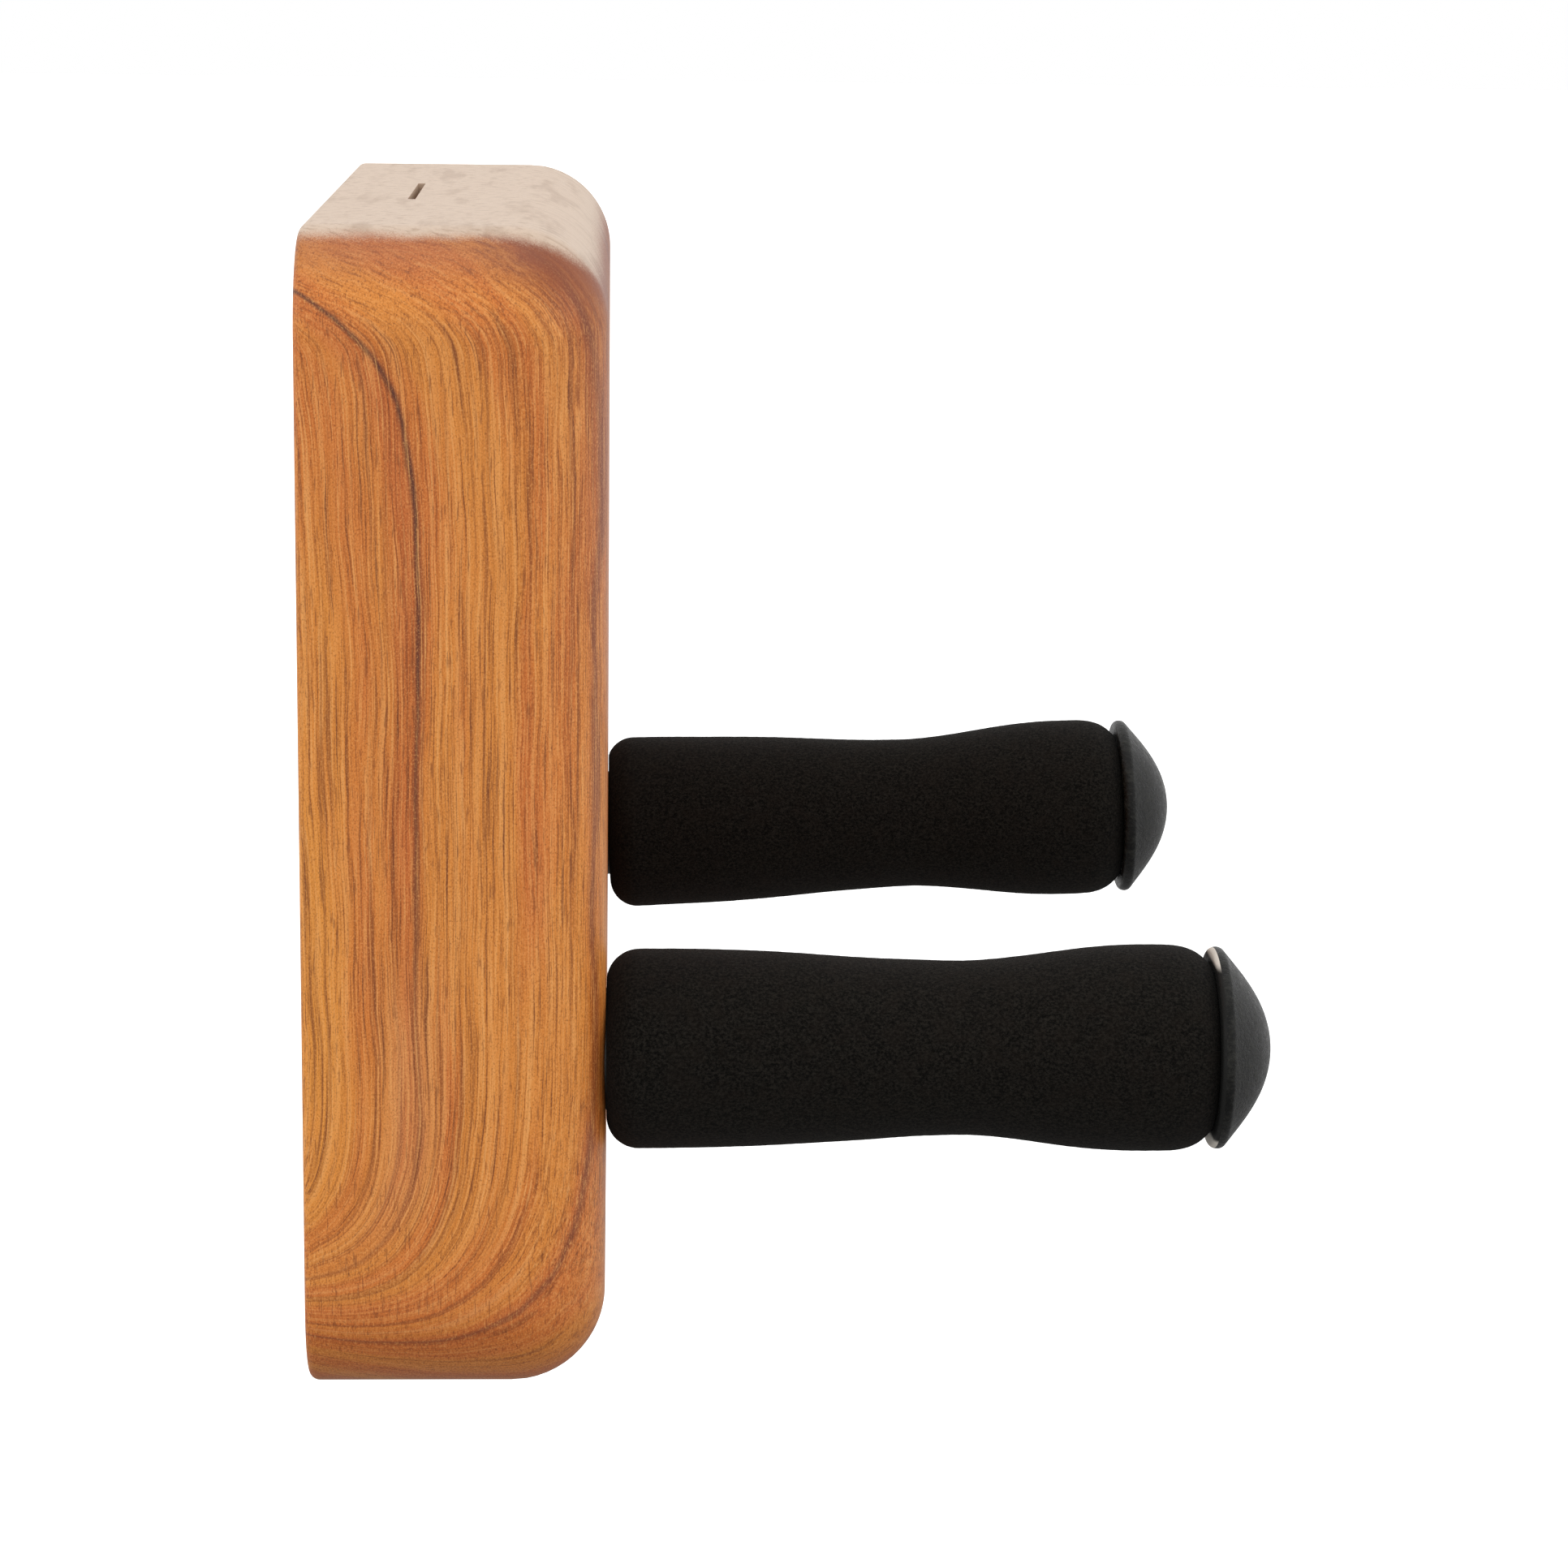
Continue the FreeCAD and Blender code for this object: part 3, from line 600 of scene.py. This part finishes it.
CAP_SEGMENTS = 128
CAP_LIP_CENTRE = 0.00145
CAP_LIP_CENTRE_RADIUS = 0.0197
CAP_LIP_BULGE = 0.0011
CAP_LIP_END = math.radians(58)
CAP_LIP_STEPS = 14
CAP_HEIGHT = 0.0126
CAP_SHOULDER = (0.0066, 0.0154)
CAP_CROWN_RADIUS = 0.0093
CAP_BACK_RINGS = 7
CAP_DOME_STEPS = 40
CAP_GATE_RADIUS = 0.0005
CAP_GATE_DEPTH = 0.00015
CAP_STEM_LENGTH = 0.015
CAP_STEM_RADIUS = 0.0085
CAP_FIN_RADIUS = 0.0104
CAP_FIN_PITCH = 0.004
CAP_FIN_THICKNESS = 0.0014

# The painted glint on the left lip's back, in millimetres: it sits a little low, and starts this far
# out.
GLINT_RISE = 1.2
GLINT_START = 17.0
GLINT_END = 18.4


def cap_outline():
    """Places past the tube's end and radii: the finned stem, the lip's bead, the dome and its gate."""
    outline = []
    for fin in range(3):
        place = CAP_FIN_PITCH * fin - CAP_STEM_LENGTH
        outline += [
            (place, CAP_STEM_RADIUS),
            (place, CAP_FIN_RADIUS),
            (place + CAP_FIN_THICKNESS, CAP_FIN_RADIUS),
            (place + CAP_FIN_THICKNESS, CAP_STEM_RADIUS),
        ]
    outline.append((0.0, CAP_STEM_RADIUS))
    for step in range(CAP_LIP_STEPS + 1):
        turn = (CAP_LIP_END + math.pi / 2) * step / CAP_LIP_STEPS - math.pi / 2
        outline.append(
            (
                CAP_LIP_CENTRE * (1 + math.sin(turn)),
                CAP_LIP_CENTRE_RADIUS + CAP_LIP_BULGE * math.cos(turn),
            )
        )
    corners = (outline[-1], CAP_SHOULDER, (CAP_HEIGHT, CAP_CROWN_RADIUS), (CAP_HEIGHT, 0.0))
    for step in range(1, CAP_DOME_STEPS):
        on = step / CAP_DOME_STEPS
        shares = ((1 - on) ** 3, 3 * on * (1 - on) ** 2, 3 * on**2 * (1 - on), on**3)
        along, radius = (
            sum(share * corner[axis] for share, corner in zip(shares, corners)) for axis in range(2)
        )
        if radius > CAP_GATE_RADIUS:
            outline.append((along, radius))
    outline.append((CAP_HEIGHT, CAP_GATE_RADIUS))
    outline.append((CAP_HEIGHT - CAP_GATE_DEPTH, CAP_GATE_RADIUS * 0.8))
    return outline


def mushroom_cap(side, finish, back_finish):
    """One cap's mesh, turned about its arm and set against the tube's end."""
    seat, way = arm_line(side)
    tube_end = max((vertex.co - seat).dot(way) for vertex in nodes[f"{side}_arm_tube"].data.vertices)
    sideways, upward = arm_frame(way)
    outline = cap_outline()
    points = []
    for along, radius in outline:
        for segment in range(CAP_SEGMENTS):
            turn = 2 * math.pi * segment / CAP_SEGMENTS
            outward = sideways * math.cos(turn) + upward * math.sin(turn)
            points.append(seat + way * (tube_end + along) + outward * radius)
    faces = ring_faces(len(outline), CAP_SEGMENTS)
    last = (len(outline) - 1) * CAP_SEGMENTS
    faces.append(tuple(range(CAP_SEGMENTS)))
    faces.append(tuple(range(last, last + CAP_SEGMENTS)))
    cap = new_piece(f"{side}_mushroom_cap", points, faces, finish)
    cap.data.materials.append(back_finish)
    back = outline.index((0.0, CAP_STEM_RADIUS))
    for polygon in cap.data.polygons[back * CAP_SEGMENTS : (back + CAP_BACK_RINGS) * CAP_SEGMENTS]:
        polygon.material_index = 1
    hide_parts(f"{side}_end_cap")


def charcoal_plastic():
    """Satin moulded plastic with soft mottling and scuffs."""
    finish, shader = new_finish("charcoal_plastic", Specular_IOR_Level=0.15)
    x, y, z = place_in_millimetres(finish)
    mottle = grain(finish, (x, y, z), (0.45, 0.6, 0.6), 5.0, 0.7)
    scuffs = grain(finish, (x, y, z), (1.6, 1.6, 1.6), 4.0, 0.75)
    colour = stain(finish, paint(13, 13, 12), paint(38, 38, 35), rise(finish, mottle, 0.42, 0.68))
    colour = stain(finish, colour, paint(74, 72, 66), rise(finish, scuffs, 0.56, 0.72, 0.0, 0.4))
    plug(finish, colour, shader.inputs["Base Color"])
    plug(finish, rise(finish, mottle, 0.3, 0.7, 0.24, 0.44), shader.inputs["Roughness"])
    bump(finish, shader, plus(finish, mottle, times(finish, scuffs, 0.5)), 0.0005, 0.6)
    return finish


def painted_glint_plastic(middle):
    """The back of a lip, with a painted highlight, a pale glint far above and below its middle height.
    """
    finish, shader = new_finish("painted_glint_plastic", Specular_IOR_Level=0.15)
    x, y, z = place_in_millimetres(finish)
    glint_mottle = grain(finish, (x, y, z), (0.8, 0.8, 0.8), 3.0, 0.6)
    bloom_and_painted_glint = stain(finish, paint(222, 216, 206), paint(196, 190, 180), glint_mottle)
    away = maths(finish, "ABSOLUTE", plus(finish, z, -middle - GLINT_RISE))
    colour = stain(finish, paint(24, 24, 23), bloom_and_painted_glint, rise(finish, away, GLINT_START, GLINT_END))
    plug(finish, colour, shader.inputs["Base Color"])
    plug(finish, rise(finish, glint_mottle, 0.3, 0.7, 0.5, 0.7), shader.inputs["Roughness"])
    return finish


CHARCOAL = charcoal_plastic()
# The left cap's lip back carries a painted highlight, a pale glint above and below its middle.
lowest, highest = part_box("left_end_cap")
middle_in_millimetres = (lowest.z + highest.z) / 2 * 1000
mushroom_cap("left", CHARCOAL, painted_glint_plastic(middle_in_millimetres))
mushroom_cap("right", CHARCOAL, CHARCOAL)

# ---------------------------------------------------------------- The studio
# A pale floor, well below a rack that hangs at working height, under white surroundings. A wide
# soft light hangs overhead and a weaker one stands at each side.

FLOOR_DROP = 1.2
FLOOR_SIZE = 60.0


def studio_floor():
    """A pale, faintly scuffed floor that lights itself and throws no light on the rack."""
    finish, shader = new_finish(
        "studio_floor", Roughness=0.8, Emission_Color=(1.0, 1.0, 1.0, 1.0), Emission_Strength=0.6
    )
    x, y, z = place_in_millimetres(finish)
    scuffs = grain(finish, (x, y, z), (0.002, 0.002, 0.002), 2.0)
    colour = stain(finish, paint(238, 238, 237), paint(246, 246, 245), scuffs)
    plug(finish, colour, shader.inputs["Base Color"])
    half = FLOOR_SIZE / 2
    mesh = bpy.data.meshes.new("studio_floor")
    mesh.from_pydata(
        [(-half, -half, 0), (half, -half, 0), (half, half, 0), (-half, half, 0)], [], [(0, 1, 2, 3)]
    )
    floor = bpy.data.objects.new("studio_floor", mesh)
    floor.location = (0, 0, -FLOOR_DROP)
    floor.visible_diffuse = False
    floor.visible_glossy = False
    bpy.context.scene.collection.objects.link(floor)
    floor.data.materials.append(finish)


def soft_light(name, place, aim, size, watts):
    """A round soft light at a place, turned towards its aim."""
    lamp = bpy.data.lights.new(name, "AREA")
    lamp.shape = "DISK"
    lamp.size = size
    lamp.energy = watts
    light = bpy.data.objects.new(name, lamp)
    light.location = place
    light.rotation_euler = (Vector(aim) - Vector(place)).to_track_quat("-Z", "Y").to_euler()
    bpy.context.scene.collection.objects.link(light)


def white_surroundings():
    """White all round, and dimmer below the horizon, where the unlit part of a studio is."""
    world = bpy.data.worlds.new("white_surroundings")
    world.use_nodes = True
    bpy.context.scene.world = world
    backdrop = world.node_tree.nodes["Background"]
    source = world.node_tree.nodes.new("ShaderNodeTexCoord")
    parts = world.node_tree.nodes.new("ShaderNodeSeparateXYZ")
    world.node_tree.links.new(source.outputs["Generated"], parts.inputs["Vector"])
    level = world.node_tree.nodes.new("ShaderNodeMapRange")
    level.interpolation_type = "SMOOTHSTEP"
    level.inputs["From Min"].default_value = -0.6
    level.inputs["From Max"].default_value = -0.05
    level.inputs["To Min"].default_value = 0.35
    level.inputs["To Max"].default_value = 1.0
    world.node_tree.links.new(parts.outputs["Z"], level.inputs["Value"])
    world.node_tree.links.new(level.outputs["Result"], backdrop.inputs["Strength"])
    backdrop.inputs["Color"].default_value = (1.0, 1.0, 1.0, 1.0)


studio_floor()
white_surroundings()
middle = (cad_box[0] + cad_box[1]) / 2
soft_light("overhead", (0.1, -0.15, 1.5), middle, 1.2, 3.0)
soft_light("from_the_left", (-1.4, -0.7, 0.5), middle, 0.9, 3.0)
soft_light("from_the_right", (1.5, -0.6, 0.6), middle, 0.9, 3.0)

# The camera stands beside the left arm, a little above the block, and looks along the wall.
CAMERA_PLACE = Vector((0.06145, -0.89068, 0.14883))
CAMERA_TURN = math.radians(-2.432)
CAMERA_DIP = math.radians(12.224)
CAMERA_ROLL = math.radians(0.753)
CAMERA_LENS = 93.96
CAMERA_SENSOR = 36.0

camera = bpy.data.objects.new("camera", bpy.data.cameras.new("camera"))
camera.data.lens = CAMERA_LENS
camera.data.sensor_width = CAMERA_SENSOR
camera.data.clip_start = 0.05
camera.data.clip_end = 200.0
camera.matrix_world = (
    Matrix.Translation(CAMERA_PLACE)
    @ Matrix.Rotation(CAMERA_TURN, 4, "Z")
    @ Matrix.Rotation(math.pi / 2 - CAMERA_DIP, 4, "X")
    @ Matrix.Rotation(CAMERA_ROLL, 4, "Z")
)
bpy.context.scene.collection.objects.link(camera)
bpy.context.scene.camera = camera
bpy.context.scene.view_settings.view_transform = "Standard"
